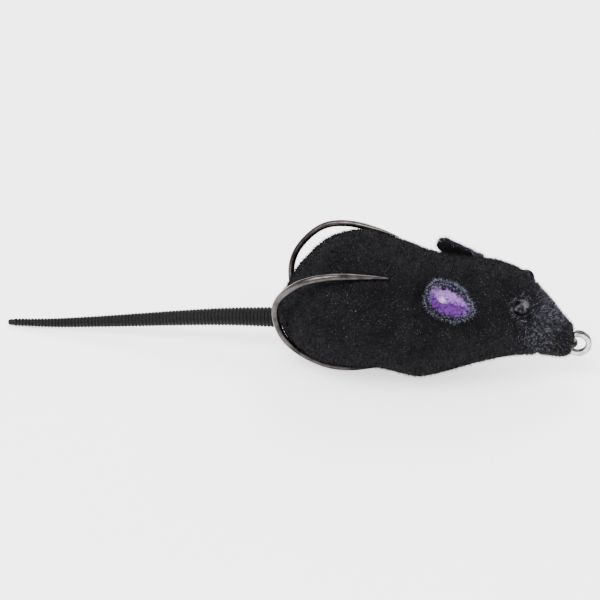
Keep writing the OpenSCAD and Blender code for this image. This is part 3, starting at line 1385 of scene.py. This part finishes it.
@dataclass
class Fur:
    """Every layer of loose fibre on the body and on the ears."""

    coat: FlockCoat = field(default_factory=FlockCoat)
    fine: FlockCoat = field(default_factory=lambda: FlockCoat(seed=40, width=0.045 * MM))
    tufts: FlockCoat = field(default_factory=lambda: FlockCoat(seed=60, width=0.17 * MM))
    under: Growth = Growth("body_fibres_a", 6.0, 0.75 * MM, 0.55)
    over: Growth = Growth("body_fibres_b", 6.0, 0.6 * MM, 0.8)
    specks: Growth = Growth("body_specks", 1.6, 0.5 * MM, 0.7)
    clumps: Growth = Growth("body_tufts", 1.6, 1.0 * MM, 0.7)
    strands: Growth = Growth("face_strands", 22.0, 1.0 * MM, 0.7)
    ear_fringe: Growth = Growth("fringe", 38.0, 1.2 * MM, 0.6)
    ear_coat: Growth = Growth("coat", 14.0, 0.8 * MM, 0.6)

    def __post_init__(self) -> None:
        """Build the trees, which the layers share."""
        black = FibreShade.BLACK.make()
        self.black_tree = self.coat.tree("black_coat", "coat", black)
        self.speck_tree = self.coat.tree("speck_coat", "coat", FibreShade.GREY.make())
        self.face_tree = self.fine.tree("face_coat", "face", FibreShade.PALE.make())
        self.tuft_tree = self.tufts.tree("tuft_coat", "coat", black)
        self.fringe_tree = self.fine.tree("fringe_coat", "fringe", FibreShade.FROST.make())

    def on_body(self, body: Body, skin: Any) -> None:
        """Grow the body's layers on the skin.

        Args:
            body: The body.
            skin: Its skin.
        """
        for piece in (
            self.coat.grow(self.under, skin, self.black_tree),
            self.coat.grow(self.over, skin, self.black_tree),
            self.coat.grow(self.specks, skin, self.speck_tree),
            self.tufts.grow(self.clumps, skin, self.tuft_tree),
            self.fine.grow(self.strands, skin, self.face_tree),
        ):
            body.follow(piece)

    def on_ear(self, side: Side, ear: Any) -> None:
        """Grow an ear's fringe and the coat on its back.

        Args:
            side: The ear's side.
            ear: Its cup.
        """
        owner = f"ear_{side.name.lower()}"
        for layer, tree in ((self.ear_fringe, self.fringe_tree), (self.ear_coat, self.black_tree)):
            grown = self.coat.grow(replace(layer, name=f"{owner}_{layer.name}"), ear, tree)
            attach(grown, owner)


# ---------------------------------------------------------------- tail


@dataclass
class Tail:
    """Ribbed soft tail, as overlapping stretches, each round one joint, and a plain round tip."""

    root_radius: float = 2.4 * MM
    tip_radius: float = 0.85 * MM
    rib_depth: float = 0.28 * MM
    rib_pitch: float = 0.8 * MM
    plain_tip: float = 1.6 * MM
    bend_reach: float = 4.6 * MM
    rump_reach: float = 1.5 * MM
    inside_rump: float = 3 * MM
    line_steps: int = 16
    points_per_rib: int = 4
    rib_share: float = 0.36
    rib_sides: int = 8
    tip_rings: int = 14
    count: int = 6
    sides: int = 28
    joints: list[Vector] = field(default_factory=list)

    def __post_init__(self) -> None:
        """Take the joints' places and the tip from the frame."""
        places = {j["name"]: j for j in frame["joints"]}
        for i in range(self.count):
            self.joints.append(Vector(places[f"tail_sway_{i + 1}"]["pos_m"]))
        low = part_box(f"tail_{self.count}")[0]
        fall = low[2] + self.tip_radius - self.rib_depth / 2
        self.joints.append(Vector((low[0], 0, fall)))
        LOG.info("tail from %s to %s", self.joints[0], self.joints[-1])

    def line(self) -> np.ndarray:
        """Smooth middle line from inside the rump to the tip."""
        first = self.joints[0] + (self.joints[0] - self.joints[1]).normalized() * self.inside_rump
        return dense([first, *self.joints], self.line_steps)

    def tree(self, finish: Any) -> NodeTree:
        """Build the tree that sets ribs along a curve and fills it with a core.

        Args:
            finish: Material that the tail wears.

        Returns:
            The finished tree.
        """
        t = NodeTree(
            "tail_ribs",
            {
                "Start Radius": ("NodeSocketFloat", 1.0),
                "End Radius": ("NodeSocketFloat", 1.0),
                "Ribs": ("NodeSocketInt", 8),
                "Rib Depth": ("NodeSocketFloat", 1.0),
                "Rib Width": ("NodeSocketFloat", 1.0),
            },
        )
        even = t.add(
            "GeometryNodeResampleCurve",
            {"mode": "COUNT"},
            {"Curve": t.given("Geometry"), "Count": t.given("Ribs")},
        )
        share = t.add("GeometryNodeSplineParameter", {}, {})
        radius = t.add(
            "ShaderNodeMapRange",
            {},
            {
                "Value": share.outputs["Factor"],
                "To Min": t.given("Start Radius"),
                "To Max": t.given("End Radius"),
            },
        )
        core_radius = t.add(
            "ShaderNodeMath", {"operation": "SUBTRACT"}, {0: radius.outputs[0], 1: t.given("Rib Depth")}
        )
        circle = t.add(
            "GeometryNodeCurvePrimitiveCircle", {"mode": "RADIUS"}, {"Resolution": self.sides, "Radius": 1.0}
        )
        core = t.add(
            "GeometryNodeCurveToMesh",
            {},
            {
                "Curve": t.given("Geometry"),
                "Profile Curve": circle.outputs["Curve"],
                "Scale": core_radius.outputs[0],
                "Fill Caps": True,
            },
        )
        rib_line = t.add(
            "GeometryNodeCurvePrimitiveCircle", {"mode": "RADIUS"}, {"Resolution": self.sides, "Radius": 1.0}
        )
        placed = t.add(
            "GeometryNodeInstanceOnPoints",
            {},
            {
                "Points": even.outputs[0],
                "Instance": rib_line.outputs["Curve"],
                "Rotation": self._across(t),
                "Scale": core_radius.outputs[0],
            },
        )
        loose = t.add("GeometryNodeRealizeInstances", {}, {0: placed.outputs[0]})
        bead = t.add(
            "GeometryNodeCurvePrimitiveCircle",
            {"mode": "RADIUS"},
            {"Resolution": self.rib_sides, "Radius": t.given("Rib Width")},
        )
        ribs = t.add(
            "GeometryNodeCurveToMesh",
            {},
            {"Curve": loose.outputs[0], "Profile Curve": bead.outputs["Curve"], "Scale": 1.0},
        )
        both = t.tree.nodes.new("GeometryNodeJoinGeometry")
        t.tree.links.new(core.outputs[0], both.inputs[0])
        t.tree.links.new(ribs.outputs[0], both.inputs[0])
        smooth = t.add("GeometryNodeSetShadeSmooth", {}, {0: both.outputs[0]})
        t.finish(smooth.outputs[0], finish)
        return t

    @staticmethod
    def _across(t: NodeTree) -> Any:
        """Turn that lays a flat circle square to the curve.

        Args:
            t: The tree that the nodes go in.

        Returns:
            The turn.
        """
        tangent = t.add("GeometryNodeInputTangent", {}, {})
        turn = t.add(
            "FunctionNodeAlignEulerToVector", {"axis": "Z"}, {"Vector": tangent.outputs[0], "Factor": 1.0}
        )
        return turn.outputs[0]

    def build(self, finish: Any) -> list[Any]:
        """Make every stretch of the tail.

        Args:
            finish: The tail's material.

        Returns:
            The finished pieces.
        """
        line = self.line()
        run = np.concatenate([[0], np.cumsum(np.linalg.norm(np.diff(line, axis=0), axis=1))])
        joints = [float(run[np.argmin(np.linalg.norm(line - np.array(j), axis=1))]) for j in self.joints]
        total = run[-1] - self.plain_tip
        middles = [(a + b) / 2 for a, b in zip(joints[:-1], joints[1:])]
        cuts = [0.0, *middles[:-1], total]
        tree = self.tree(finish)
        pieces = []
        for i, (start, end) in enumerate(zip(cuts[:-1], cuts[1:])):
            pieces.append(self._stretch(i, line, run, (start, end), tree))
        pieces.append(self._tip(line, run, total, finish))
        return pieces

    def _radius(self, run: np.ndarray, s: float) -> float:
        """Outer radius at a distance along the middle line."""
        return float(self.root_radius + (self.tip_radius - self.root_radius) * s / run[-1])

    def _stretch(self, i: int, line: np.ndarray, run: np.ndarray, ends: Any, tree: NodeTree) -> Any:
        """One stretch, from the middle of a length to the middle of the next.

        Args:
            i: Number of the stretch, from the root.
            line: Places along the tail's middle.
            run: Distance of each place from the root.
            ends: Where the stretch starts and ends along the tail.
            tree: Tree that sets the ribs.

        Returns:
            The stretch as a plain mesh.
        """
        ribs = max(2, round((ends[1] - ends[0]) / self.rib_pitch))
        step = (ends[1] - ends[0]) / ribs
        shared = 1 if i else 0
        places = np.linspace(ends[0] + (0.5 - shared) * step, ends[1] - step / 2, self.points_per_rib * ribs)
        points = np.stack([np.interp(places, run, line[:, k]) for k in range(3)], axis=1)
        curve = bpy.data.curves.new(f"tail_stretch_{i + 1}", "CURVE")
        curve.dimensions = "3D"
        spline = curve.splines.new("POLY")
        spline.points.add(len(points) - 1)
        spline.points.foreach_set("co", np.c_[points, np.ones(len(points))].ravel())
        path = bpy.data.objects.new(curve.name, curve)
        bpy.context.scene.collection.objects.link(path)
        modifier = path.modifiers.new("ribs", "NODES")
        modifier.node_group = tree.tree
        ids = {s.name: s.identifier for s in tree.tree.interface.items_tree if s.in_out == "INPUT"}
        values = {
            "Start Radius": self._radius(run, places[0]),
            "End Radius": self._radius(run, places[-1]),
            "Ribs": ribs + shared,
            "Rib Depth": self.rib_depth,
            "Rib Width": self.rib_share * self.rib_pitch,
        }
        for key, value in values.items():
            modifier[ids[key]] = value
        graph = bpy.context.evaluated_depsgraph_get()
        mesh = bpy.data.meshes.new_from_object(path.evaluated_get(graph))
        bpy.data.objects.remove(path)
        piece = bpy.data.objects.new(f"tail_stretch_{i + 1}", mesh)
        bpy.context.scene.collection.objects.link(piece)
        mesh.shade_smooth()
        a = "root" if i == 0 else f"tail_{i}"
        joint = self.joints[i]
        along = (self.joints[i + 1] - joint).normalized()
        before = self.bend_reach if i else self.rump_reach
        start, end = joint - along * before, joint + along * self.bend_reach
        f"tail_{i + 1}"
        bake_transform(piece)
        nodes = ["tail_plug", "tail_1"] if i == 0 else [f"tail_{i + 1}"]
        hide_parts(*nodes)
        return piece

    def _tip(self, line: np.ndarray, run: np.ndarray, start: float, finish: Any) -> Any:
        """Smooth round end of the tail.

        Args:
            line: Places along the tail's middle.
            run: Distance of each place from the root.
            start: Where the ribs end along the tail.
            finish: Material that it wears.

        Returns:
            The tip as a plain mesh.
        """
        places = np.linspace(start - self.rib_pitch / 2, run[-1], self.tip_rings)
        points = np.stack([np.interp(places, run, line[:, k]) for k in range(3)], axis=1)
        end = self.tip_radius - self.rib_depth / 2
        left = run[-1] - places
        radii = end * np.sqrt(np.clip(1 - np.clip(1 - left / end, 0, 1) ** 2, 0.0004, 1))
        circle = round_section(self.sides)
        piece = swept("tail_tip", points, lambda i: circle * radii[i], (0, 1, 0), finish)
        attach(piece, f"tail_{self.count}")
        return piece


# ---------------------------------------------------------------- ears, eyes, ring


@dataclass
class Ear:
    """Cupped ear: black flocked back, purple lining and a pale fringe round the rim."""

    side: Side
    length: float = 10.5 * MM
    width: float = 7.5 * MM
    cup_radius: float = 11 * MM
    sag: float = 1.0 * MM
    thickness: float = 0.9 * MM
    hinge_share: float = 0.47
    turn: Point = (44, 22, -8)
    rings: int = 14
    around: int = 64
    waver: Span = (0.03, 0.02)
    taper: float = 0.22
    fold_depth: float = 0.35 * MM
    fold_below: float = 0.8 * MM
    fold_half: float = 0.9 * MM
    fringe_reach: float = 0.26
    fringe_share: Span = (0.45, 0.55)

    def _frame(self) -> Matrix:
        """Place of the right ear's own plane, from the frame's joint.

        Returns:
            Turn and place of that plane.
        """
        places = {j["name"]: Vector(j["pos_m"]) for j in frame["joints"]}
        a, b, c = (math.radians(v) for v in self.turn)
        spin = Matrix.Rotation(c, 4, "Z") @ Matrix.Rotation(b, 4, "Y") @ Matrix.Rotation(a, 4, "X")
        middle = places["ear_right_flex"] - spin @ Vector((self.hinge_share * self.length, 0, 0))
        return Matrix.Translation(middle) @ spin

    def _rim(self, a: float) -> tuple[float, float]:
        """Point of the drop-shaped outline at an angle.

        Args:
            a: The angle, in radians.

        Returns:
            The point in the plane of the ear.
        """
        waver = 1 + self.waver[0] * math.sin(5 * a + 1.0) + self.waver[1] * math.sin(11 * a)
        x = self.length / 2 * math.cos(a) * waver
        return x, self.width / 2 * math.sin(a) * (1 - self.taper * math.cos(a)) * waver

    def _height(self, x: float, y: float, outer: bool) -> float:
        """Height of the cup's outer or inner face over the ear's plane."""
        radius = self.cup_radius - (0 if outer else self.thickness)
        return self.cup_radius - self.sag - math.sqrt(radius**2 - x * x - y * y)

    def build(self, back: Any, lining: Any) -> Any:
        """Make the ear.

        Args:
            back: Material of its outer face and rim.
            lining: Material of its hollow face.

        Returns:
            The finished piece.
        """
        verts, along, up = [], [], []
        for outer in (False, True):
            for r in range(self.rings + 1):
                share = (r + 0.5) / (self.rings + 0.5)
                for k in range(self.around):
                    a = k * FULL_TURN / self.around
                    x, y = (share * v for v in self._rim(a))
                    beside = (y + self.fold_below) / self.fold_half
                    fold = self.fold_depth * math.exp(-(beside**2)) * (0 if outer else 1)
                    verts.append(Vector((x, y, self._height(x, y, outer) - fold * (1 - share))))
                    along.append(2 * x / self.length)
                    up.append(2 * y / self.width)
        layer = (self.rings + 1) * self.around
        faces, slots = [], []
        for outer in (0, 1):
            base = outer * layer
            for r in range(self.rings):
                for k in range(self.around):
                    n = (k + 1) % self.around
                    i, j = base + r * self.around, base + (r + 1) * self.around
                    faces.append([i + k, j + k, j + n, i + n])
                    slots.append(0 if outer or r >= self.rings - 1 else 1)
            faces.append([base + k for k in range(self.around)])
            slots.append(0 if outer else 1)
        rim = self.rings * self.around
        for k in range(self.around):
            n = (k + 1) % self.around
            faces.append([rim + k, rim + n, layer + rim + n, layer + rim + k])
            slots.append(0)
        place = self._frame()
        flip = Matrix.Scale(-1, 4, (0, 1, 0)) if self.side is Side.LEFT else Matrix.Identity(4)
        name = f"ear_{self.side.name.lower()}_cup"
        piece = new_piece(name, [flip @ place @ v for v in verts], faces, back)
        piece.data.materials.append(lining)
        piece.data.polygons.foreach_set("material_index", slots)
        for key, values in (("ear_along", along), ("ear_up", up)):
            layer_of = piece.data.attributes.new(key, "FLOAT", "POINT")
            layer_of.data.foreach_set("value", values)
        self._mark_rim(piece)
        outward(piece)
        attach(piece, f"ear_{self.side.name.lower()}")
        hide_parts(f"ear_{self.side.name.lower()}")
        return piece

    def _mark_rim(self, piece: Any) -> None:
        """Store where the fringe and the back's coat stand.

        Args:
            piece: The ear's cup.
        """
        layer = (self.rings + 1) * self.around
        fringe, coat = [], []
        for i in range(2 * layer):
            r, k = i % layer // self.around, i % self.around
            upper = 0.5 + 0.5 * math.sin(k * FULL_TURN / self.around)
            depth = (self.rings - r) / self.rings
            shade = max(0.0, 1 - depth / (self.fringe_reach + self.fringe_reach * upper))
            thick = self.fringe_share[0] + self.fringe_share[1] * upper
            fringe.append(shade * thick * (1.0 if i < layer else 0.0))
            coat.append(1.0 if i >= layer else shade)
        for key, values in (("fringe", fringe), ("coat", coat)):
            made = piece.data.attributes.new(key, "FLOAT", "POINT")
            made.data.foreach_set("value", values)


@dataclass
class Eye:
    """Bead eye with a slightly flattened front, in the skin's socket."""

    side: Side
    rows: int = 24
    around: int = 40
    flat: float = 0.93
    flat_share: float = 0.4
    pole: float = 0.004
    lean: Span = (0.25, 0.35)

    def build(self, finish: Any) -> Any:
        """Make the bead over its node's box.

        Args:
            finish: The bead's material.

        Returns:
            The finished piece.
        """
        node = f"eye_{self.side.name.lower()}"
        low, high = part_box(node)
        middle = Vector(box_middle((low, high)))
        radius = (high[0] - low[0]) / 2
        out = Vector((self.lean[0], self.side.value, self.lean[1])).normalized()
        turn = out.to_track_quat("Z", "Y").to_matrix()
        verts, faces = [], []
        for r in range(self.rows + 1):
            polar = math.pi * min(max(r / self.rows, self.pole), 1 - self.pole)
            for k in range(self.around):
                a = k * FULL_TURN / self.around
                z = math.cos(polar)
                z = z if z < self.flat else self.flat + (z - self.flat) * self.flat_share
                v = Vector((math.sin(polar) * math.cos(a), math.sin(polar) * math.sin(a), z))
                verts.append(middle + turn @ v * radius)
        faces = ring_faces(self.rows + 1, self.around)
        piece = new_piece(f"{node}_bead", verts, faces, finish)
        outward(piece)
        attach(piece, "root")
        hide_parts(node)
        return piece


@dataclass
class SplitRing:
    """Split ring: one flat wire wound twice, with its step where the turns cross."""

    bore: float = 3.5 * MM
    step_angle: float = 0.42
    turn_steps: int = 96
    start_angle: float = 2.3
    turn_fill: float = 0.97
    corner_steps: int = 20
    corner_power: float = 0.55
    end_share: Span = (0.72, 0.14)

    def build(self) -> Any:
        """Make the ring over its node's box.

        Returns:
            The finished piece.
        """
        low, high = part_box("split_ring")
        middle = np.array(box_middle((low, high)))
        outer, wide = (high[0] - low[0]) / 2, high[1] - low[1]
        thick = wide / 2 * self.turn_fill
        band = outer - self.bore / 2
        radius = (outer + self.bore / 2) / 2
        angles = np.linspace(self.step_angle, 2 * FULL_TURN - self.step_angle, 2 * self.turn_steps)
        rise = np.clip((angles - FULL_TURN) / self.step_angle, -1, 1)
        side = wide / 4 * np.sin(rise * math.pi / 2)
        start = self.start_angle
        path = middle + np.stack(
            [radius * np.cos(angles + start), side, radius * np.sin(angles + start)], axis=1
        )
        corner = self._corner(band, thick)
        finish = RingPlate(tuple(float(v) for v in middle), radius, band / 2).make()
        first = (math.cos(self.step_angle + start), 0, math.sin(self.step_angle + start))
        piece = swept("line_ring", path, lambda i: corner * self._end(i, len(path)), first, finish)
        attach(piece, "ring")
        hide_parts("split_ring")
        return piece

    def _corner(self, band: float, thick: float) -> np.ndarray:
        """Rounded oblong section of the flattened wire.

        Args:
            band: Width of the wire.
            thick: Its thickness.

        Returns:
            Points round the section, one row each.
        """
        a = np.arange(self.corner_steps) * FULL_TURN / self.corner_steps
        e = self.corner_power
        x = band / 2 * np.sign(np.cos(a)) * np.abs(np.cos(a)) ** e
        y = thick / 2 * np.sign(np.sin(a)) * np.abs(np.sin(a)) ** e
        return np.stack([x, y], axis=1)

    def _end(self, i: int, count: int) -> float:
        """Size of the section near the wire's two rounded ends."""
        left = min(i, count - 1 - i)
        return min(1.0, self.end_share[0] + self.end_share[1] * left)


# ---------------------------------------------------------------- the stage


@dataclass(frozen=True)
class Lamp:
    """Square soft light, aimed at the lure."""

    name: str
    place: Point
    size: float
    power: float


@dataclass
class Stage:
    """Floor, camera and soft lights."""

    azimuth: float = 10.0
    elevation: float = 30.0
    distance: float = 0.363
    lens: float = 100.0
    aim: Point = (0.0030, -0.0047, 0.0162)
    sensor: float = 36.0
    clip_start: float = 0.01
    floor_half: float = 6.0
    lamp_aim: Point = (0.0, 0.0, 0.015)
    sky: float = 1.5
    lamps: tuple[Lamp, ...] = (
        Lamp("key", (-0.25, -0.45, 0.75), 0.55, 14.0),
        Lamp("fill", (0.7, -0.5, 0.45), 0.5, 5.0),
        Lamp("rim", (0.1, 0.7, 0.6), 0.6, 8.0),
    )

    def camera(self) -> None:
        """Place the camera, which looks along the given angles."""
        a, e = math.radians(self.azimuth), math.radians(self.elevation)
        back = Vector((math.sin(a) * math.cos(e), -math.cos(a) * math.cos(e), math.sin(e)))
        data = bpy.data.cameras.new("camera")
        data.lens = self.lens
        data.sensor_width = self.sensor
        data.clip_start = self.clip_start
        cam = bpy.data.objects.new("camera", data)
        bpy.context.scene.collection.objects.link(cam)
        cam.location = Vector(self.aim) + back * self.distance
        cam.rotation_euler = back.to_track_quat("Z", "Y").to_euler()
        bpy.context.scene.camera = cam

    def floor(self) -> None:
        """Lay the floor."""
        half = self.floor_half
        corners = [(-half, -half, 0), (half, -half, 0), (half, half, 0), (-half, half, 0)]
        floor = new_piece("floor", corners, [[0, 1, 2, 3]], Studio().make())
        floor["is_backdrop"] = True

    def lights(self) -> None:
        """Hang large soft lights over and beside the lure, and fill from all round."""
        for plan in self.lamps:
            data = bpy.data.lights.new(plan.name, "AREA")
            data.size = plan.size
            data.energy = plan.power
            lamp = bpy.data.objects.new(plan.name, data)
            bpy.context.scene.collection.objects.link(lamp)
            lamp.location = plan.place
            toward = Vector(plan.place) - Vector(self.lamp_aim)
            lamp.rotation_euler = toward.to_track_quat("Z", "Y").to_euler()
        world = bpy.data.worlds.new("world")
        world.use_nodes = True
        sky = next(n for n in world.node_tree.nodes if n.type == "BACKGROUND")
        sky.inputs[0].default_value = (1.0, 1.0, 1.0, 1.0)
        sky.inputs[1].default_value = self.sky
        bpy.context.scene.world = world


def dress_cad() -> None:
    """Give the hidden keel weight, which stays as its CAD solid, a cast finish."""
    finish = WEIGHT_CAST.make()
    for slot in frame["nodes"]["belly_weight"].material_slots:
        slot.material = finish


def main() -> None:
    """Build the lure and its stage."""
    logging.basicConfig(level=logging.INFO, format="%(message)s")
    stage = Stage()
    stage.camera()
    stage.floor()
    stage.lights()
    flock = Flock().make()
    hook = HookRig()
    body = Body()
    fur = Fur()
    skin = body.build(hook, flock)
    fur.on_body(body, skin)
    body.follow(skin)
    hook.build(body, HOOK_PLATE.make())
    Tail().build(SoftPlastic().make())
    lining = EarLining().make()
    for side in Side:
        ear = Ear(side).build(flock, lining)
        Eye(side).build(Bead().make())
        fur.on_ear(side, ear)
    SplitRing().build()
    dress_cad()
    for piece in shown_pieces():
        LOG.info("%s: %d faces", piece.name, len(piece.data.polygons))


if __name__ == "__main__":
    main()
